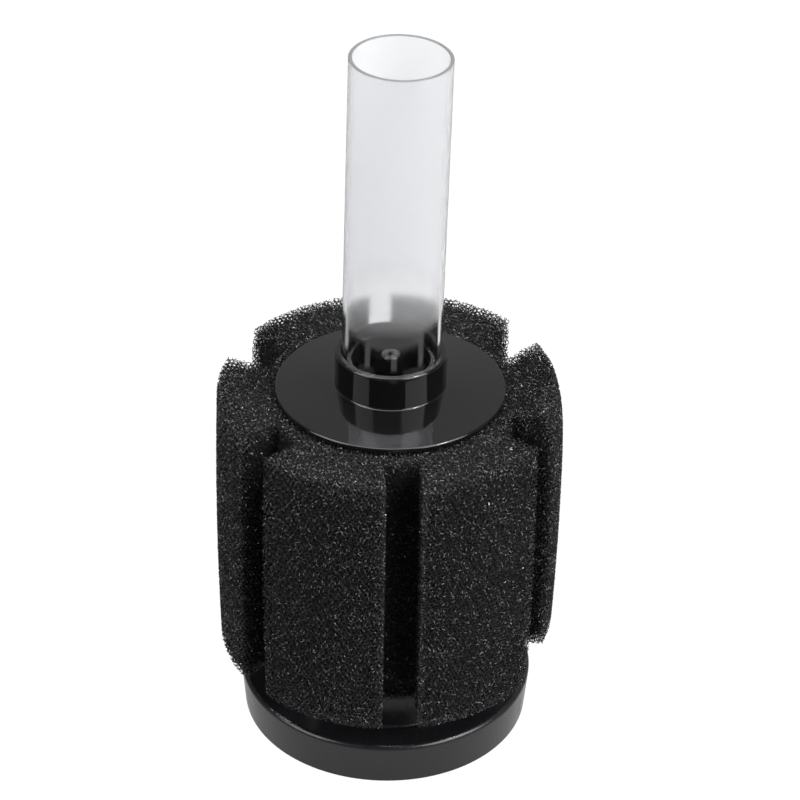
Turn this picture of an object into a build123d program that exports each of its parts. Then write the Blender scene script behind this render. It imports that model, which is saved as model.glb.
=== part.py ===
"""Air-driven aquarium sponge filter with a weighted base, a finned foam sleeve and a clear riser tube.

Millimetres, +Z up. The origin is the centre of the base's underside, on the common axis of every piece.
The front slot of the sponge faces -Y.
"""

from build123d import *
import os

# Base: a wide puck with a narrower upper tier that the sponge stands on
BASE_BOTTOM_R = 30.0
BASE_TOP_R = 30.8
PUCK_H = 9.5
TIER_R = 24.2
TIER_TOP_R = 24.0
TIER_H = 8.5
BASE_WALL = 1.6
PUCK_EDGE_R = 0.9
TIER_EDGE_R = 0.8
TIER_ROOT_R = 0.6
SOCKET_R = 10.55
SOCKET_WALL = 1.6
SOCKET_DEPTH = 8.5

# Closing disc and sealed weight
PLATE_T = 1.5
PLATE_GAP = 0.05
PLATE_RIM_H = 1.2
PLATE_RIM_W = 1.2
BALLAST_GAP = 0.4
BALLAST_H = 5.6
BALLAST_CHAMFER = 0.8

# Strainer tube, from the base's socket up to the top plate
STRAINER_R = 12.0
STRAINER_WALL = 1.4
SPIGOT_FIT = 0.05
SPIGOT_WALL = 1.4
LOWER_SPIGOT_H = 8.0
SPIGOT_LEAD = 0.4
INLET_COLUMNS = 8
INLET_ROWS = 4
INLET_W = 2.4
INLET_H = 9.0
INLET_PITCH = 11.5
FIRST_INLET = 9.0

# Sponge: a foam sleeve with six fins
SPONGE_R = 35.2
SPONGE_H = 59.2
SPONGE_BORE_GAP = 0.3
SLOTS = 6
SLOT_W = 7.2
SLOT_ROOT_R = 25.8

# Top plate: a shallow cone with a collar that holds the riser
CAP_R = 23.25
CAP_GAP = 0.3
CAP_EDGE_T = 0.9
CAP_RISE = 1.2
CAP_EDGE_R = 0.35
COLLAR_R = 11.25
COLLAR_TOP = 86.9
COLLAR_ROOT_R = 0.35
COLLAR_RIM_R = 0.45
RISER_SEAT = 80.0
UPPER_SPIGOT_H = 7.5

# Riser tube
RISER_R = 10.0
RISER_WALL = 0.75
RISER_TOP = 151.4
RISER_FIT = 0.05
RISER_EDGE = 0.15

# Air nozzle insert, air pipe and diffuser
SLEEVE_R = 9.1
SLEEVE_BORE_R = 8.0
SLEEVE_BOTTOM = 71.0
SLEEVE_TOP = 85.2
SLEEVE_EDGE_R = 0.3
SPOKES = 3
SPOKE_W = 1.4
SPOKE_H = 2.4
HUB_R = 3.2
HUB_BOTTOM = 67.0
HUB_TOP = 74.5
HUB_EDGE_R = 0.6
NIPPLE_R = 2.0
NIPPLE_TOP = 86.0
NIPPLE_EDGE_R = 0.4
AIR_HOLE_R = 0.65
PIPE_BORE_R = 1.2
PIPE_SOCKET_DEPTH = 5.0
PIPE_BOTTOM = 33.0
DIFFUSER_R = 5.0
DIFFUSER_BOTTOM = 24.0
DIFFUSER_TOP = 38.0
DIFFUSER_EDGE_R = 0.8

# Heights and radii that follow from the driving dimensions
BASE_TOP = PUCK_H + TIER_H
SPONGE_TOP = BASE_TOP + SPONGE_H
STRAINER_TOP = SPONGE_TOP + CAP_GAP
STRAINER_BORE_R = STRAINER_R - STRAINER_WALL
CAP_BOTTOM = STRAINER_TOP
CAP_EDGE_TOP = CAP_BOTTOM + CAP_EDGE_T
CAP_TOP = CAP_EDGE_TOP + CAP_RISE
PUCK_CEILING = PUCK_H - BASE_WALL
TIER_CEILING = BASE_TOP - BASE_WALL
SIDE_BORE_R = BASE_BOTTOM_R - BASE_WALL
HUB_SHELL_R = SOCKET_R + SOCKET_WALL
CUT_MARGIN = 1.0


def ring(outer_r, inner_r, bottom, top):
    """A plain ring or tube about the axis."""
    band = Pos(0, 0, bottom) * extrude(Circle(outer_r) - Circle(inner_r), top - bottom)
    return band


def disc(radius, bottom, top):
    """A plain solid disc about the axis."""
    return Pos(0, 0, bottom) * extrude(Circle(radius), top - bottom)


def turned(points):
    """A solid of revolution about Z from a closed outline of (radius, height) points."""
    outline = make_face(Plane.XZ * Polyline(*points, close=True))
    return revolve(outline, Axis.Z)


def round_edges(shape, radius, edge_r, edge_z):
    """Round the circular edges of one radius at one height."""
    tolerance = 0.02
    chosen = [
        edge
        for edge in shape.edges().filter_by(GeomType.CIRCLE)
        if abs(edge.radius - edge_r) < tolerance and abs(edge.center().Z - edge_z) < tolerance
    ]
    return fillet(chosen, radius)


def base_housing():
    """The moulded base: puck, upper tier and a blind socket for the strainer tube, hollow beneath."""
    shell = turned(
        [
            (0, 0),
            (BASE_BOTTOM_R, 0),
            (BASE_TOP_R, PUCK_H),
            (TIER_R, PUCK_H),
            (TIER_TOP_R, BASE_TOP),
            (0, BASE_TOP),
        ]
    )
    shell = round_edges(shell, PUCK_EDGE_R, BASE_TOP_R, PUCK_H)
    shell = round_edges(shell, TIER_ROOT_R, TIER_R, PUCK_H)
    shell = round_edges(shell, TIER_EDGE_R, TIER_TOP_R, BASE_TOP)
    shell -= disc(SIDE_BORE_R, -CUT_MARGIN, PUCK_CEILING)
    shell -= ring(TIER_TOP_R - BASE_WALL, HUB_SHELL_R, PUCK_CEILING - CUT_MARGIN, TIER_CEILING)
    shell -= disc(SOCKET_R, BASE_TOP - SOCKET_DEPTH, BASE_TOP + CUT_MARGIN)
    return shell


def base_plate():
    """The disc that closes the base from beneath, with a low rim that locates it in the side wall."""
    plate_r = SIDE_BORE_R - PLATE_GAP
    plate = disc(plate_r, 0, PLATE_T)
    rim = ring(plate_r, plate_r - PLATE_RIM_W, PLATE_T, PLATE_T + PLATE_RIM_H)
    return plate + rim


def ballast_ring():
    """The iron weight sealed between the housing and the base plate."""
    outer_r = SIDE_BORE_R - PLATE_GAP - PLATE_RIM_W - BALLAST_GAP
    inner_r = HUB_SHELL_R + BALLAST_GAP
    bottom = PLATE_T
    weight = ring(outer_r, inner_r, bottom, bottom + BALLAST_H)
    return chamfer(weight.edges().filter_by(GeomType.CIRCLE), BALLAST_CHAMFER)


def inlet_slots():
    """The cutters for the rows of upright water inlets round the strainer tube."""
    reach = STRAINER_R + CUT_MARGIN
    sketch = Plane.XZ * SlotOverall(INLET_H, INLET_W, rotation=90)
    cutter = extrude(sketch, reach)
    rows = [BASE_TOP + FIRST_INLET + row * INLET_PITCH for row in range(INLET_ROWS)]
    turns = [column * 360 / INLET_COLUMNS for column in range(INLET_COLUMNS)]
    return [Rot(0, 0, turn) * Pos(0, 0, height) * cutter for height in rows for turn in turns]


def strainer_tube():
    """The slotted tube that the sponge slips over, with a spigot for the base's socket."""
    spigot_r = SOCKET_R - SPIGOT_FIT
    tube = ring(STRAINER_R, STRAINER_BORE_R, BASE_TOP, STRAINER_TOP)
    spigot_bore_r = spigot_r - SPIGOT_WALL
    spigot_bottom = BASE_TOP - LOWER_SPIGOT_H
    shoulder_top = BASE_TOP + SPIGOT_WALL
    spigot = ring(spigot_r, spigot_bore_r, spigot_bottom, BASE_TOP)
    shoulder = ring(STRAINER_R, spigot_bore_r, BASE_TOP, shoulder_top)
    body = tube + spigot + shoulder
    lead_edges = [
        edge
        for edge in body.edges().filter_by(GeomType.CIRCLE)
        if edge.center().Z < spigot_bottom + SPIGOT_LEAD / 2 and edge.radius > spigot_bore_r + SPIGOT_LEAD
    ]
    body = chamfer(lead_edges, SPIGOT_LEAD)
    return body - inlet_slots()


def sponge():
    """The foam sleeve: one block with a bore for the strainer tube and six slots down its side."""
    slot_depth = SPONGE_R - SLOT_ROOT_R + CUT_MARGIN
    slot = Pos(0, -SLOT_ROOT_R - slot_depth / 2) * Rectangle(SLOT_W, slot_depth)
    section = Circle(SPONGE_R) - Circle(STRAINER_R + SPONGE_BORE_GAP)
    for index in range(SLOTS):
        section -= Rot(0, 0, index * 360 / SLOTS) * slot
    return Pos(0, 0, BASE_TOP) * extrude(section, SPONGE_H)


def top_plate():
    """The cap: a shallow cone, a collar with the riser's seat, and a spigot for the strainer tube."""
    spigot_r = STRAINER_BORE_R - SPIGOT_FIT
    spigot_bottom = CAP_BOTTOM - UPPER_SPIGOT_H
    cap = turned(
        [
            (0, spigot_bottom),
            (spigot_r, spigot_bottom),
            (spigot_r, CAP_BOTTOM),
            (CAP_R, CAP_BOTTOM),
            (CAP_R, CAP_EDGE_TOP),
            (COLLAR_R, CAP_TOP),
            (COLLAR_R, COLLAR_TOP),
            (0, COLLAR_TOP),
        ]
    )
    cap -= disc(RISER_R + RISER_FIT, RISER_SEAT, COLLAR_TOP + CUT_MARGIN)
    cap -= disc(SLEEVE_R, spigot_bottom - CUT_MARGIN, RISER_SEAT + CUT_MARGIN)
    cap = round_edges(cap, CAP_EDGE_R, CAP_R, CAP_EDGE_TOP)
    cap = round_edges(cap, COLLAR_ROOT_R, COLLAR_R, CAP_TOP)
    cap = round_edges(cap, COLLAR_RIM_R, COLLAR_R, COLLAR_TOP)
    lead_edges = [
        edge
        for edge in cap.edges().filter_by(GeomType.CIRCLE)
        if edge.center().Z < spigot_bottom + SPIGOT_LEAD / 2 and edge.radius > SLEEVE_R + SPIGOT_LEAD
    ]
    return chamfer(lead_edges, SPIGOT_LEAD)


def riser_tube():
    """The clear straight tube, cut square at both ends."""
    tube = ring(RISER_R, RISER_R - RISER_WALL, RISER_SEAT, RISER_TOP)
    return chamfer(tube.edges().filter_by(GeomType.CIRCLE), RISER_EDGE)


def nozzle_spokes():
    """The spokes that carry the hub inside the sleeve."""
    length = (SLEEVE_R + SLEEVE_BORE_R) / 2
    bar = Pos(length / 2, 0, SLEEVE_BOTTOM + SPOKE_H / 2) * Box(length, SPOKE_W, SPOKE_H)
    return [Rot(0, 0, 90 + index * 360 / SPOKES) * bar for index in range(SPOKES)]


def air_nozzle():
    """The insert: a sleeve for the riser's bore, and a hub with the airline nipple on its axis."""
    sleeve = ring(SLEEVE_R, SLEEVE_BORE_R, SLEEVE_BOTTOM, SLEEVE_TOP)
    sleeve = round_edges(sleeve, SLEEVE_EDGE_R, SLEEVE_R, SLEEVE_TOP)
    hub = disc(HUB_R, HUB_BOTTOM, HUB_TOP)
    hub = round_edges(hub, HUB_EDGE_R, HUB_R, HUB_TOP)
    nipple = disc(NIPPLE_R, HUB_BOTTOM, NIPPLE_TOP)
    nipple = round_edges(nipple, NIPPLE_EDGE_R, NIPPLE_R, NIPPLE_TOP)
    insert = sleeve + nozzle_spokes() + hub + nipple
    insert -= disc(AIR_HOLE_R, HUB_BOTTOM - CUT_MARGIN, NIPPLE_TOP + CUT_MARGIN)
    insert -= disc(NIPPLE_R, HUB_BOTTOM - CUT_MARGIN, HUB_BOTTOM + PIPE_SOCKET_DEPTH)
    return insert


def air_pipe():
    """The thin rigid pipe from the nozzle's hub down to the diffuser."""
    return ring(NIPPLE_R, PIPE_BORE_R, PIPE_BOTTOM, HUB_BOTTOM + PIPE_SOCKET_DEPTH)


def air_diffuser():
    """The porous tip that the pipe's lower end is pushed into."""
    tip = disc(DIFFUSER_R, DIFFUSER_BOTTOM, DIFFUSER_TOP)
    tip = fillet(tip.edges().filter_by(GeomType.CIRCLE), DIFFUSER_EDGE_R)
    return tip - disc(NIPPLE_R, PIPE_BOTTOM, DIFFUSER_TOP + CUT_MARGIN)


PIECES = {
    "base_housing": base_housing,
    "base_plate": base_plate,
    "ballast_ring": ballast_ring,
    "strainer_tube": strainer_tube,
    "sponge": sponge,
    "top_plate": top_plate,
    "riser_tube": riser_tube,
    "air_nozzle": air_nozzle,
    "air_pipe": air_pipe,
    "air_diffuser": air_diffuser,
}


def main():
    """Build every piece and write each to its own STEP file."""
    os.makedirs("parts", exist_ok=True)
    for name, make in PIECES.items():
        export_step(make(), f"parts/{name}.step")


main()
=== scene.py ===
"""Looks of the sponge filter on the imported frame: studio, materials, open-cell foam and clear riser tube."""

import math

import bpy
import numpy as np
from mathutils import Matrix, Quaternion, Vector


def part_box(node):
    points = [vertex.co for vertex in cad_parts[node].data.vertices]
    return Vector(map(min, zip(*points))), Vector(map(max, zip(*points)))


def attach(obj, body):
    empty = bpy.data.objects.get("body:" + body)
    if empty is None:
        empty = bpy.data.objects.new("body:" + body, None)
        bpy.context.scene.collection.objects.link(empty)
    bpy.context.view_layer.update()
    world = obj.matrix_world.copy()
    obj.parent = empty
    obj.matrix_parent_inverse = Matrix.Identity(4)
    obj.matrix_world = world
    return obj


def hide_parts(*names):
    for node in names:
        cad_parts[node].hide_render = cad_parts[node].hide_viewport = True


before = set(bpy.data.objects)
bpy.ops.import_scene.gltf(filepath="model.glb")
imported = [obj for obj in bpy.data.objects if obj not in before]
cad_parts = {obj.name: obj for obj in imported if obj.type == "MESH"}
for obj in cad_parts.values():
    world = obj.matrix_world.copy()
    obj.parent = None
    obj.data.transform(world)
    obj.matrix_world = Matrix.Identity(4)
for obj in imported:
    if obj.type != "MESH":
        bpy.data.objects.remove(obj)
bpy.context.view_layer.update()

MM = 0.001

# Camera: a long lens from the front and above
CAMERA_TURN = math.radians(-5.3)
CAMERA_OUT = 0.48614
CAMERA_HEIGHT = 0.39302
CAMERA_ROLL = math.radians(1.168)
CAMERA_LENS = 129.6
SENSOR_WIDTH = 36
AIM_SIDE = 0.00198
AIM_HEIGHT = 0.07473

# Lights, placed as seen with the camera at -Y: place, aim, size in metres, power in watts
MIDDLE = (0, 0, 0.06)
LIGHTS = {
    "left_box": ((-0.63, -0.35, 0.47), MIDDLE, (0.50, 0.56), 3.7),
    "right_box": ((0.58, -0.43, 0.47), MIDDLE, (0.66, 0.58), 6.8),
    "spark": ((0.72, -0.30, 1.15), MIDDLE, (0.14, 0.14), 6.0),
    "overhead": ((0.0, 0.02, 1.05), MIDDLE, (1.5, 0.35), 14.0),
    "backdrop": ((0.0, 1.6, 1.0), (0, 0, 0.3), (3.4, 1.7), 5.6),
}
ROOM_COLOUR = (0.97, 0.98, 1.0, 1)
ROOM_LIGHT = 0.13
ROOM_WHITE = 1.05

# Floors: half their width, and how far each lies under the base
FLOOR_HALF = 3.0
TABLE_DROP = 0.2 * MM
BOUNCE_DROP = 0.4 * MM
TABLE_GREY = 0.02
TABLE_GLOW = 1.0
BOUNCE_GREY = 0.15
BOUNCE_NEAR = 37 * MM
BOUNCE_NEAR_GLOW = 0.5
BOUNCE_FAR = 50 * MM
BOUNCE_FAR_GLOW = 0.12

# Sponge, as its CAD solid has it
SLOTS = 6
SLOT_W = 7.2 * MM
SLOT_ROOT_R = 25.8 * MM
SPONGE_BORE_R = 12.3 * MM
TIER_R = 24.2 * MM

# How the soft foam departs from that, from the slot or fin in front on towards +X:
# slots turned and flared, fins' outer edges lifted at foot and head, sides bowed and ends tucked in
SLOT_TURNS = np.radians((0.0, -2.5, 0.5, 0.0, -0.9, 4.0))
SLOT_FLARES = np.array((0.0, 0.0, 2.2, -0.9, 1.3, 0.0)) * MM
FOOT_LIFTS = np.array((-0.3, 5.0, 1.5, 1.5, -0.3, -0.2)) * MM
HEAD_LIFTS = np.array((-0.3, 3.1, 2.0, 2.1, 0.6, -0.2)) * MM
HEAD_TUCKS = np.array((0.0, 1.6, 0.0, 0.8, 0.0, 0.0)) * MM
LIFT_FROM_R = 24.5 * MM
SIDE_BOW = 0.2 * MM
END_TUCK = 0.5 * MM
HEAD_TUCK_POWER = 6

# Foam cells: their width, and how far the lattice is warped and its joints are shaken
CELL = 1.05 * MM
WARP = 0.3 * MM
CELL_JITTER = 0.19 * MM

# Struts: their radius and its spread, triangles in each, the shortest kept, how far they reach into the core,
# how far they stay from the bore, and how far outside their layer a cell's middle may lie
STRUT_R = 0.075 * MM
STRUT_R_SPREAD = 0.3
STRUT_FACES = 8
MIN_STUB = 0.14 * MM
CORE_OVERLAP = 0.08 * MM
BORE_MARGIN = 0.5 * MM
SEARCH = 1.5 * CELL

# Core: its depth under the cut surface, how much shallower it lies in the slots, its rounding, its grid's step
# and the spare steps round it, and a depth beyond any in the foam
CORE_INSET = 0.6 * MM
SLOT_INSET_SAVING = 0.3 * MM
CORNER_ROUNDING = 3.4 * MM
CORE_GRID = 0.6 * MM
GRID_MARGIN = 3
FAR = 1.0

# Strut materials, from dark and matt to light and glossy: a bias above 1 makes the dark ones commoner
FOAM_SHADES = 5
SHADE_BIAS = 1.5
SHADE_DARK = 0.012
SHADE_LIGHT = 0.026
SHADE_MATT = 0.30
SHADE_GLOSSY = 0.18

# Each fin's struts come in this many tiers, which keeps each piece below the exporter's triangle limit
FOAM_TIERS = 4

# Riser tube, as its CAD solid has it
TUBE_R = 10.0 * MM
TUBE_WALL = 0.75 * MM
TUBE_EDGE = 0.15 * MM
TUBE_SEGMENTS = 128
TUBE_LEAN = math.radians(0.75)
TUBE_ROUGHNESS = 0.025
TUBE_HAZE = 0.14
HAZE_ROUGHNESS = 0.6
HAZE_LEVELS = np.arange(15.6, 20.6, 0.8) * MM


# ---------------------------------------------------------------- camera and studio

def turned(x, y, z):
    """A point given with the camera at -Y, turned about the object's axis to where the camera really is."""
    c, s = math.cos(CAMERA_TURN), math.sin(CAMERA_TURN)
    return Vector((x * c - y * s, x * s + y * c, z))


def make_camera():
    """The camera that the main view is rendered with."""
    data = bpy.data.cameras.new("camera")
    data.lens = CAMERA_LENS
    data.sensor_width = SENSOR_WIDTH
    data.clip_start = 0.01
    data.clip_end = 20
    camera = bpy.data.objects.new("camera", data)
    bpy.context.scene.collection.objects.link(camera)
    place = turned(0, -CAMERA_OUT, CAMERA_HEIGHT)
    aim = turned(AIM_SIDE, 0, AIM_HEIGHT)
    look = (aim - place).to_track_quat("-Z", "Y")
    camera.rotation_mode = "QUATERNION"
    camera.location = place
    camera.rotation_quaternion = look @ Quaternion((0, 0, 1), CAMERA_ROLL)
    bpy.context.scene.camera = camera


def area_light(name, place, aim, size, power):
    """A rectangular light at a place, facing its aim."""
    data = bpy.data.lights.new(name, "AREA")
    data.shape = "RECTANGLE"
    data.size, data.size_y = size
    data.energy = power
    light = bpy.data.objects.new(name, data)
    light.location = place
    light.rotation_mode = "QUATERNION"
    light.rotation_quaternion = (Vector(aim) - Vector(place)).to_track_quat("-Z", "Y")
    bpy.context.scene.collection.objects.link(light)


def floor_plane(name, drop, grey, glow):
    """A large matt floor that glows evenly."""
    corners = [(x * FLOOR_HALF, y * FLOOR_HALF, 0) for x, y in ((-1, -1), (1, -1), (1, 1), (-1, 1))]
    mesh = bpy.data.meshes.new(name)
    mesh.from_pydata(corners, [], [(0, 1, 2, 3)])
    floor = bpy.data.objects.new(name, mesh)
    floor.location = (0, 0, -drop)
    bpy.context.scene.collection.objects.link(floor)
    material = new_material(name)
    shader = principled(material)
    shader.inputs["Base Color"].default_value = (grey, grey, grey, 1)
    shader.inputs["Roughness"].default_value = 0.9
    shader.inputs["Specular IOR Level"].default_value = 0.1
    shader.inputs["Emission Color"].default_value = (1, 1, 1, 1)
    shader.inputs["Emission Strength"].default_value = glow
    mesh.materials.append(material)
    return floor


def fade_glow(floor):
    """Lets the bounce floor's glow fade with distance from the object."""
    material = floor.data.materials[0]
    where = node(material, "ShaderNodeTexCoord").outputs["Object"]
    distance = node(material, "ShaderNodeVectorMath", operation="LENGTH")
    link(material, where, distance.inputs[0])
    fade = node(material, "ShaderNodeMapRange", interpolation_type="SMOOTHSTEP")
    fade.inputs["From Min"].default_value = BOUNCE_NEAR
    fade.inputs["From Max"].default_value = BOUNCE_FAR
    fade.inputs["To Min"].default_value = BOUNCE_NEAR_GLOW
    fade.inputs["To Max"].default_value = BOUNCE_FAR_GLOW
    link(material, distance.outputs["Value"], fade.inputs["Value"])
    link(material, fade.outputs["Result"], principled(material).inputs["Emission Strength"])


def make_floors():
    """A white floor for the eye, and under it a duller one that only mirrors in the object."""
    table = floor_plane("light_table", TABLE_DROP, TABLE_GREY, TABLE_GLOW)
    table.visible_glossy = False
    table.visible_diffuse = False
    table.visible_shadow = False
    bounce = floor_plane("bounce_floor", BOUNCE_DROP, BOUNCE_GREY, BOUNCE_NEAR_GLOW)
    bounce.visible_camera = False
    bounce.visible_transmission = False
    bounce.visible_diffuse = False
    fade_glow(bounce)


def make_room():
    """A world that lights dimly but is white to the eye, also through the clear tube."""
    world = bpy.data.worlds.new("room")
    world.use_nodes = True
    tree = world.node_tree
    background = tree.nodes["Background"]
    background.inputs["Color"].default_value = ROOM_COLOUR
    rays = tree.nodes.new("ShaderNodeLightPath")
    seen = tree.nodes.new("ShaderNodeMath")
    seen.operation = "MAXIMUM"
    tree.links.new(rays.outputs["Is Camera Ray"], seen.inputs[0])
    tree.links.new(rays.outputs["Is Transmission Ray"], seen.inputs[1])
    strength = tree.nodes.new("ShaderNodeMapRange")
    strength.inputs["To Min"].default_value = ROOM_LIGHT
    strength.inputs["To Max"].default_value = ROOM_WHITE
    tree.links.new(seen.outputs["Value"], strength.inputs["Value"])
    tree.links.new(strength.outputs["Result"], background.inputs["Strength"])
    return world


def make_studio():
    """Soft boxes and a small spark in front, a strip overhead, a pale backdrop behind and a dim room."""
    for name, (place, aim, size, power) in LIGHTS.items():
        area_light(name, turned(*place), aim, size, power)
    scene = bpy.context.scene
    scene.world = make_room()
    scene.view_settings.view_transform = "Standard"
    scene.view_settings.look = "None"
    make_floors()


# ---------------------------------------------------------------- materials

def new_material(name):
    material = bpy.data.materials.new(name)
    material.use_nodes = True
    return material


def principled(material):
    return material.node_tree.nodes["Principled BSDF"]


def node(material, kind, **settings):
    made = material.node_tree.nodes.new(kind)
    for key, value in settings.items():
        if key in made.inputs:
            made.inputs[key].default_value = value
        else:
            setattr(made, key, value)
    return made


def link(material, source, target):
    material.node_tree.links.new(source, target)


def moulded_black(name, colour, roughness, peel, scratch):
    """Moulded black plastic: soft orange peel, faint cloudiness in the colour and fine rubbed marks."""
    material = new_material(name)
    shader = principled(material)
    shader.inputs["Base Color"].default_value = (*colour, 1)
    shader.inputs["IOR"].default_value = 1.52
    where = node(material, "ShaderNodeTexCoord").outputs["Object"]

    cloud = node(material, "ShaderNodeTexNoise", Scale=140.0, Detail=4.0, Roughness=0.6)
    link(material, where, cloud.inputs["Vector"])
    tint = node(material, "ShaderNodeMapRange")
    tint.inputs["To Min"].default_value = 0.8
    tint.inputs["To Max"].default_value = 1.2
    link(material, cloud.outputs["Fac"], tint.inputs["Value"])
    shade = node(material, "ShaderNodeMix", data_type="RGBA", blend_type="MULTIPLY")
    shade.inputs[0].default_value = 1.0
    shade.inputs[6].default_value = (*colour, 1)
    link(material, tint.outputs["Result"], shade.inputs[7])
    link(material, shade.outputs[2], shader.inputs["Base Color"])

    streaks = node(material, "ShaderNodeTexNoise", Scale=900.0, Detail=2.0, Roughness=0.5)
    stretch = node(material, "ShaderNodeMapping")
    stretch.inputs["Scale"].default_value = (1.0, 0.12, 0.35)
    link(material, where, stretch.inputs["Vector"])
    link(material, stretch.outputs["Vector"], streaks.inputs["Vector"])
    gloss = node(material, "ShaderNodeMapRange")
    gloss.inputs["From Min"].default_value = 0.35
    gloss.inputs["From Max"].default_value = 0.75
    gloss.inputs["To Min"].default_value = roughness
    gloss.inputs["To Max"].default_value = roughness + scratch
    link(material, streaks.outputs["Fac"], gloss.inputs["Value"])
    link(material, gloss.outputs["Result"], shader.inputs["Roughness"])

    grain = node(material, "ShaderNodeTexNoise", Scale=260.0, Detail=1.5, Roughness=0.4)
    link(material, where, grain.inputs["Vector"])
    bump = node(material, "ShaderNodeBump", Strength=peel, Distance=0.00005)
    link(material, grain.outputs["Fac"], bump.inputs["Height"])
    link(material, bump.outputs["Normal"], shader.inputs["Normal"])
    return material


def clear_plastic(number, haze):
    """Extruded clear plastic: a faint grey body and a share of milky haze."""
    material = new_material(f"clear_plastic_{number}")
    shader = principled(material)
    shader.inputs["Base Color"].default_value = (0.90, 0.904, 0.917, 1)
    shader.inputs["Roughness"].default_value = TUBE_ROUGHNESS + HAZE_ROUGHNESS * haze
    shader.inputs["IOR"].default_value = 1.47
    shader.inputs["Transmission Weight"].default_value = 1 - haze
    return material


def cut_plastic():
    """The tube's sawn ends: the same plastic with a fine matt face."""
    material = new_material("clear_plastic_cut")
    shader = principled(material)
    shader.inputs["Base Color"].default_value = (0.2, 0.205, 0.215, 1)
    shader.inputs["Roughness"].default_value = 0.5
    shader.inputs["Transmission Weight"].default_value = 0.3
    return material


def grainy(name, dark, light, scale, roughness, metallic, relief):
    """Cast or sintered stuff: two tones in fine grains with a rough relief."""
    material = new_material(name)
    shader = principled(material)
    shader.inputs["Metallic"].default_value = metallic
    shader.inputs["Roughness"].default_value = roughness
    where = node(material, "ShaderNodeTexCoord").outputs["Object"]
    grains = node(material, "ShaderNodeTexVoronoi", Scale=scale)
    link(material, where, grains.inputs["Vector"])
    tones = node(material, "ShaderNodeValToRGB")
    tones.color_ramp.elements[0].color = (*light, 1)
    tones.color_ramp.elements[1].color = (*dark, 1)
    tones.color_ramp.elements[1].position = 0.8
    link(material, grains.outputs["Distance"], tones.inputs["Fac"])
    link(material, tones.outputs["Color"], shader.inputs["Base Color"])
    bump = node(material, "ShaderNodeBump", Strength=relief, Distance=0.0002)
    link(material, grains.outputs["Distance"], bump.inputs["Height"])
    link(material, bump.outputs["Normal"], shader.inputs["Normal"])
    return material


def painted_pore_shade():
    """The foam below the outermost cells: painted shade, near black and darker than any strut, fills the
    pores, with the next layer of struts just showing in their own dark tone.
    """
    material = new_material("foam_core")
    shader = principled(material)
    shader.inputs["Roughness"].default_value = 0.8
    shader.inputs["Specular IOR Level"].default_value = 0.2
    where = node(material, "ShaderNodeTexCoord").outputs["Object"]
    cells = node(material, "ShaderNodeTexVoronoi", feature="DISTANCE_TO_EDGE", Scale=1 / CELL)
    link(material, where, cells.inputs["Vector"])
    # Painted shade: the near-black pore fill stands for the shade deep in the foam; the cell edges keep the
    # struts' own dark tone.
    tones = node(material, "ShaderNodeValToRGB")
    tones.color_ramp.elements[0].position = 0.05
    tones.color_ramp.elements[0].color = (0.012, 0.012, 0.0125, 1)
    tones.color_ramp.elements[1].position = 0.16
    tones.color_ramp.elements[1].color = (0.003, 0.003, 0.003, 1)
    link(material, cells.outputs["Distance"], tones.inputs["Fac"])
    link(material, tones.outputs["Color"], shader.inputs["Base Color"])
    return material


def foam_shades():
    """Plain blacks for the struts: each takes one, so tone and glitter vary from strut to strut."""
    shades = []
    for index in range(FOAM_SHADES):
        share = index / (FOAM_SHADES - 1)
        material = new_material(f"foam_strut_{index}")
        shader = principled(material)
        grey = SHADE_DARK + (SHADE_LIGHT - SHADE_DARK) * share
        shader.inputs["Base Color"].default_value = (grey, grey, grey * 1.02, 1)
        shader.inputs["Roughness"].default_value = SHADE_MATT + (SHADE_GLOSSY - SHADE_MATT) * share
        shader.inputs["IOR"].default_value = 1.5
        shades.append(material)
    return shades


# ---------------------------------------------------------------- foam

SPONGE_LOW, SPONGE_HIGH = (np.array(corner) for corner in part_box("sponge"))
SPONGE_R = SPONGE_HIGH[0]
SPONGE_MID = (SPONGE_LOW[2] + SPONGE_HIGH[2]) / 2
SPONGE_HALF = (SPONGE_HIGH[2] - SPONGE_LOW[2]) / 2


def nearest_slot(x, y):
    """The number of the nearest slot, and the angle from its middle."""
    step = 2 * math.pi / SLOTS
    angle = np.arctan2(x, -y)
    turn = np.round(angle / step)
    slot = turn.astype(int) % SLOTS
    return slot, angle - turn * step - SLOT_TURNS[slot]


def slot_gap(radius, slot, angle):
    """Distance from the nearest slot's walls: positive in the foam, negative in the open slot."""
    outward = np.clip((radius - SLOT_ROOT_R) / (SPONGE_R - SLOT_ROOT_R), 0, 1)
    aside = np.abs(radius * np.sin(angle)) - SLOT_W / 2 - SLOT_FLARES[slot] * outward
    inward = SLOT_ROOT_R - radius * np.cos(angle)
    outside = np.hypot(np.maximum(aside, 0), np.maximum(inward, 0))
    return np.where((aside < 0) & (inward < 0), np.maximum(aside, inward), outside)


def fin_lift(radius, fin, z):
    """How far the foam stands above its place in the CAD: each fin's outer edge has its own lifts."""
    outward = np.clip((radius - LIFT_FROM_R) / (SPONGE_R - LIFT_FROM_R), 0, 1)
    upward = np.clip((z - SPONGE_LOW[2]) / (2 * SPONGE_HALF), 0, 1)
    lift = FOOT_LIFTS[fin] + (HEAD_LIFTS[fin] - FOOT_LIFTS[fin]) * upward
    return lift * outward * outward * (3 - 2 * outward)


def soft_min(a, b, width):
    """The smaller of two distances, with the crease between them rounded."""
    overlap = np.maximum(width - np.abs(a - b), 0) / width
    return np.minimum(a, b) - overlap**2 * width / 4


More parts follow.
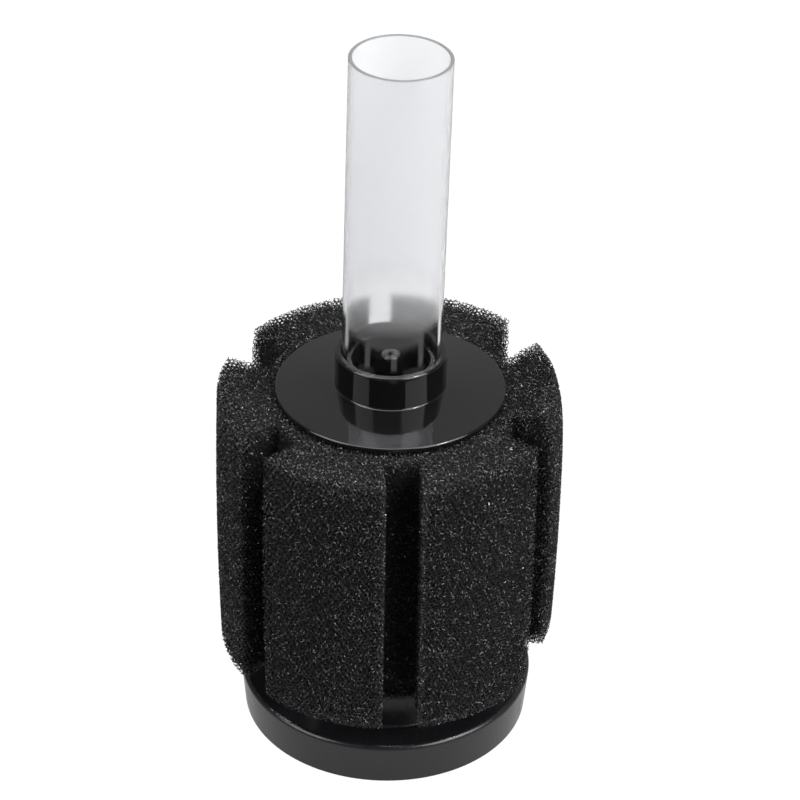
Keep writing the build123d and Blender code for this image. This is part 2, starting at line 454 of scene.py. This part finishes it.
def foam_depths(p):
    """For each point, its depth under the cut surface, and its height inside the solid-looking core."""
    x, y, z = p.T
    radius = np.hypot(x, y)
    slot, angle = nearest_slot(x, y)
    fin = (slot - (angle < 0)) % SLOTS
    z = z - fin_lift(radius, fin, z)
    along = (z - SPONGE_MID) / SPONGE_HALF
    tuck = END_TUCK * along**2 + HEAD_TUCKS[fin] * np.clip(along, 0, 1) ** HEAD_TUCK_POWER
    rim = SPONGE_R + SIDE_BOW - tuck - radius
    gap = slot_gap(radius, slot, angle)
    top = SPONGE_HIGH[2] - z
    bottom = z - SPONGE_LOW[2]
    cut = np.minimum.reduce([rim, gap, top, bottom])
    hidden = radius < TIER_R
    open_bottom = np.where(hidden, bottom + CORE_INSET, bottom)
    walls = soft_min(rim, gap + SLOT_INSET_SAVING, CORNER_ROUNDING)
    ends = np.minimum(top, open_bottom)
    level = soft_min(walls, ends, CORNER_ROUNDING) - CORE_INSET
    level = np.minimum(level, np.where(hidden, bottom, FAR))
    level = np.minimum(level, radius - SPONGE_BORE_R)
    return cut, level


def core_surface():
    """The core as points and four-cornered faces: a point in each grid cube that its surface crosses."""
    low = SPONGE_LOW - GRID_MARGIN * CORE_GRID
    high = SPONGE_HIGH + np.array([0, 0, HEAD_LIFTS.max()]) + GRID_MARGIN * CORE_GRID
    shape = np.ceil((high - low) / CORE_GRID).astype(int)
    steps = np.stack(np.meshgrid(*(np.arange(n) for n in shape), indexing="ij"), axis=-1)
    level = foam_depths(low + steps.reshape(-1, 3) * CORE_GRID)[1].reshape(shape)
    inside = level > 0
    faces, points = [], []
    for axis in range(3):
        unit = np.eye(3, dtype=int)
        across, over = unit[(axis + 1) % 3], unit[(axis + 2) % 3]
        crossed = inside != np.roll(inside, -1, axis)
        near = np.argwhere(crossed)
        far = near + unit[axis]
        a, b = level[tuple(near.T)], level[tuple(far.T)]
        point = low + (near + unit[axis] * (a / (a - b))[:, None]) * CORE_GRID
        ring = np.stack([near, near - across, near - across - over, near - over], axis=1)
        ids = np.ravel_multi_index(tuple(np.moveaxis(ring, -1, 0)), shape)
        ids = np.where((a > 0)[:, None], ids, ids[:, ::-1])
        faces.append(ids)
        points.append(np.repeat(point, 4, axis=0))
    used, faces = np.unique(np.concatenate(faces), return_inverse=True)
    weights = np.concatenate(points)
    hits = np.bincount(faces.ravel())
    points = np.stack([np.bincount(faces.ravel(), weights[:, axis]) / hits for axis in range(3)], axis=1)
    return points, faces.reshape(-1, 4)


def hashed(cells, salt):
    """A steady pseudo-random number from -1 to 1 for each row of whole numbers."""
    n = cells.astype(np.int64) + 4096
    h = (n[:, 0] * 73856093) ^ (n[:, 1] * 19349663) ^ (n[:, 2] * 83492791) ^ (salt * 2654435761)
    h &= 0xFFFFFFFF
    for _ in range(2):
        h = ((h >> 16) ^ h) * 0x45D9F3B & 0xFFFFFFFF
    h = (h >> 16) ^ h
    return (h & 0xFFFFFF) / float(0xFFFFFF) * 2 - 1


LATTICE_TURN = np.array(Quaternion((0.31, 0.52, 0.79), 0.83).to_matrix())


def lattice_places(cells):
    """Where the foam's joints lie: a lattice of Kelvin cells, turned, warped and shaken out of order."""
    p = cells * (CELL / 4)
    p = p @ LATTICE_TURN.T
    waves = p / MM
    warp = np.stack([
        np.sin(waves[:, 1] * 0.91 + 1.3) + np.sin(waves[:, 2] * 0.53 + 0.4),
        np.sin(waves[:, 2] * 0.87 + 2.1) + np.sin(waves[:, 0] * 0.59 + 1.9),
        np.sin(waves[:, 0] * 0.97 + 0.7) + np.sin(waves[:, 1] * 0.47 + 2.6),
    ], axis=1)
    p = p + warp * WARP
    shake = np.stack([hashed(cells, salt) for salt in (1, 2, 3)], axis=1)
    p = p + shake * CELL_JITTER
    return p + np.array([0, 0, SPONGE_MID])


def kelvin_struts():
    """The joints of one Kelvin cell's cube, in quarters, and the offset of each strut that starts there."""
    corners = {
        tuple(v % 4 for v in values)
        for a in (1, 3)
        for values in ((0, a, 2), (0, 2, a), (a, 0, 2), (2, 0, a), (a, 2, 0), (2, a, 0))
    }
    signs = [(a, b) for a in (-1, 1) for b in (-1, 1)]
    steps = [(a, b, 0) for a, b in signs] + [(a, 0, b) for a, b in signs] + [(0, a, b) for a, b in signs]
    struts = []
    for corner in sorted(corners):
        for step in steps:
            end = tuple((c + s) % 4 for c, s in zip(corner, step))
            if end in corners and step > (0, 0, 0):
                struts.append((corner, step))
    return struts


def foam_struts():
    """Start and end points of every strut between the cut surface and the core."""
    count = int(math.ceil(math.hypot(SPONGE_R, SPONGE_HALF + HEAD_LIFTS.max()) / CELL)) + GRID_MARGIN
    span = np.arange(-count, count)
    cubes = np.stack(np.meshgrid(span, span, span, indexing="ij"), axis=-1).reshape(-1, 3) * 4
    middle = lattice_places(cubes + 2)
    cut, level = foam_depths(middle)
    near = (cut > -SEARCH) & (level < SEARCH)
    cubes = cubes[near]
    starts, ends, keys = [], [], []
    for corner, step in kelvin_struts():
        first = cubes + np.array(corner)
        last = first + np.array(step)
        a, b = lattice_places(first), lattice_places(last)
        cut_a, level_a = foam_depths(a)
        cut_b, level_b = foam_depths(b)
        keep = ((cut_a > 0) | (cut_b > 0)) & (np.minimum(level_a, level_b) < CORE_OVERLAP)
        keep &= (level_a + level_b) / 2 < CORE_OVERLAP
        keep &= np.hypot((a[:, 0] + b[:, 0]) / 2, (a[:, 1] + b[:, 1]) / 2) > SPONGE_BORE_R + BORE_MARGIN
        a, b, cut_a, cut_b = a[keep], b[keep], cut_a[keep], cut_b[keep]
        key = first[keep]
        share = np.clip(cut_a / np.where(cut_a == cut_b, 1, cut_a - cut_b), 0, 1)[:, None]
        edge = a + (b - a) * share
        a, b = np.where((cut_a < 0)[:, None], edge, a), np.where((cut_b < 0)[:, None], edge, b)
        whole = np.linalg.norm(b - a, axis=1) > MIN_STUB
        starts.append(a[whole])
        ends.append(b[whole])
        keys.append(key[whole])
    return np.concatenate(starts), np.concatenate(ends), np.concatenate(keys)


def mesh_object(name, points, faces, materials, slots=None, smooth=True):
    """An object from arrays of points and of faces that all have the same number of corners."""
    mesh = bpy.data.meshes.new(name)
    corners = faces.shape[1]
    mesh.vertices.add(len(points))
    mesh.vertices.foreach_set("co", np.ascontiguousarray(points, np.float32).ravel())
    mesh.loops.add(faces.size)
    mesh.loops.foreach_set("vertex_index", np.ascontiguousarray(faces, np.int32).ravel())
    mesh.polygons.add(len(faces))
    mesh.polygons.foreach_set("loop_start", np.arange(0, faces.size, corners, dtype=np.int32))
    for material in materials:
        mesh.materials.append(material)
    if slots is not None:
        mesh.polygons.foreach_set("material_index", np.ascontiguousarray(slots, np.int32))
    mesh.update(calc_edges=True)
    mesh.validate()
    mesh.polygons.foreach_set("use_smooth", np.full(len(faces), smooth))
    made = bpy.data.objects.new(name, mesh)
    bpy.context.scene.collection.objects.link(made)
    return made


def turned_mesh(name, profile, bands, segments, materials):
    """A closed ring of revolution about Z, from its (radius, height) outline and each step's material."""
    count = len(profile)
    turns = np.arange(segments) * 2 * math.pi / segments
    radius, height = np.array(profile).T
    points = np.stack([
        np.cos(turns)[:, None] * radius,
        np.sin(turns)[:, None] * radius,
        np.broadcast_to(height, (segments, count)),
    ], axis=-1).reshape(-1, 3)
    turn, step = np.meshgrid(np.arange(segments), np.arange(count), indexing="ij")
    here, beside = turn * count, (turn + 1) % segments * count
    ahead = (step + 1) % count
    faces = np.stack([here + step, beside + step, beside + ahead, here + ahead], axis=-1).reshape(-1, 4)
    made = mesh_object(name, points, faces, materials, np.tile(bands, segments))
    made.data.set_sharp_from_angle(angle=math.radians(30))
    return made


def make_riser():
    """The clear tube: sawn ends, hazy above a clean foot, leaning a little in its loose socket."""
    low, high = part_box("riser_tube")
    length = high[2] - low[2]
    inner = TUBE_R - TUBE_WALL
    levels = [TUBE_EDGE, *HAZE_LEVELS, length - TUBE_EDGE]
    outside = [(TUBE_R - TUBE_EDGE, 0), *((TUBE_R, level) for level in levels), (TUBE_R - TUBE_EDGE, length)]
    inside = [(inner + TUBE_EDGE, 0), *((inner, level) for level in levels), (inner + TUBE_EDGE, length)]
    hazes = np.linspace(0, TUBE_HAZE, len(levels) - 1)
    grades = [clear_plastic(number, haze) for number, haze in enumerate(hazes)]
    walls = list(range(len(grades)))
    cut = len(grades)
    bands = [cut, *walls, cut, cut, cut, *walls[::-1], cut, cut]
    materials = [*grades, cut_plastic()]
    riser = turned_mesh("clear_riser", outside + inside[::-1], bands, TUBE_SEGMENTS, materials)
    lean = Matrix.Rotation(TUBE_LEAN, 4, turned(0, 1, 0))
    riser.data.transform(Matrix.Translation((0, 0, low[2])) @ lean)
    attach(riser, "riser")
    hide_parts("riser_tube")


def prism_struts(starts, ends, thickness, twist):
    """Three-sided closed struts: points and triangles."""
    along = ends - starts
    along /= np.linalg.norm(along, axis=1)[:, None]
    other = np.where(np.abs(along[:, 2:3]) < 0.8, [[0, 0, 1.0]], [[1.0, 0, 0]])
    side = np.cross(along, other)
    side /= np.linalg.norm(side, axis=1)[:, None]
    up = np.cross(along, side)
    rings = []
    for base in (starts, ends):
        for corner in range(3):
            angle = twist + corner * 2 * math.pi / 3
            offset = side * np.cos(angle)[:, None] + up * np.sin(angle)[:, None]
            rings.append(base + offset * thickness[:, None])
    points = np.stack(rings, axis=1).reshape(-1, 3)
    one = np.array([
        (0, 1, 4), (0, 4, 3), (1, 2, 5), (1, 5, 4), (2, 0, 3), (2, 3, 5), (0, 2, 1), (3, 4, 5),
    ])
    faces = (one[None] + 6 * np.arange(len(starts))[:, None, None]).reshape(-1, 3)
    return points, faces


def make_foam_struts(shades):
    """The struts as one piece for each tier of each fin."""
    starts, ends, keys = foam_struts()
    middle = (starts + ends) / 2
    chance = hashed(keys, 7)
    thickness = STRUT_R * (1 + STRUT_R_SPREAD * hashed(keys, 8))
    twist = hashed(keys, 9) * math.pi
    shade = np.clip(((chance + 1) / 2) ** SHADE_BIAS * FOAM_SHADES, 0, FOAM_SHADES - 1).astype(int)
    step = 2 * math.pi / SLOTS
    fin = (np.floor(np.arctan2(middle[:, 0], -middle[:, 1]) / step) % SLOTS).astype(int)
    upward = (middle[:, 2] - SPONGE_LOW[2]) / (2 * SPONGE_HALF)
    tier = np.clip(upward * FOAM_TIERS, 0, FOAM_TIERS - 1).astype(int)
    made = []
    for k in range(SLOTS):
        for level in range(FOAM_TIERS):
            mine = (fin == k) & (tier == level)
            points, faces = prism_struts(starts[mine], ends[mine], thickness[mine], twist[mine])
            slots = np.repeat(shade[mine], STRUT_FACES)
            piece = mesh_object(f"foam_fin_{k + 1}_{level + 1}", points, faces, shades, slots, smooth=False)
            made.append(piece)
    return made


# ---------------------------------------------------------------- all together

def paint(name, material):
    """Gives a CAD node its finished material."""
    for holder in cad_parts[name].material_slots:
        holder.material = material


def paint_nodes():
    """The pieces that keep their CAD shape."""
    cap = moulded_black("cap_black", (0.0045, 0.0045, 0.0047), roughness=0.06, peel=0.10, scratch=0.05)
    base = moulded_black("base_black", (0.010, 0.010, 0.0115), roughness=0.22, peel=0.2, scratch=0.08)
    inner = moulded_black("inner_black", (0.015, 0.015, 0.016), roughness=0.35, peel=0.3, scratch=0.1)
    iron = grainy(
        "cast_iron", (0.09, 0.085, 0.08), (0.2, 0.19, 0.18),
        scale=2600.0, roughness=0.6, metallic=0.8, relief=0.5,
    )
    stone = grainy(
        "diffuser_stone", (0.16, 0.16, 0.165), (0.4, 0.4, 0.41),
        scale=3200.0, roughness=0.9, metallic=0.0, relief=0.8,
    )
    paint("top_plate", cap)
    paint("air_nozzle", cap)
    paint("base_housing", base)
    paint("base_plate", base)
    paint("strainer_tube", inner)
    paint("air_pipe", inner)
    paint("ballast_ring", iron)
    paint("air_diffuser", stone)


def make_foam():
    """The core, near black with painted shade in its pores, which stands for the CAD sponge, and the struts
    round it.
    """
    core = mesh_object("foam_core", *core_surface(), [painted_pore_shade()])
    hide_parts("sponge")
    for piece in [core, *make_foam_struts(foam_shades())]:
        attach(piece, "sponge")


make_camera()
make_studio()
paint_nodes()
make_riser()
make_foam()
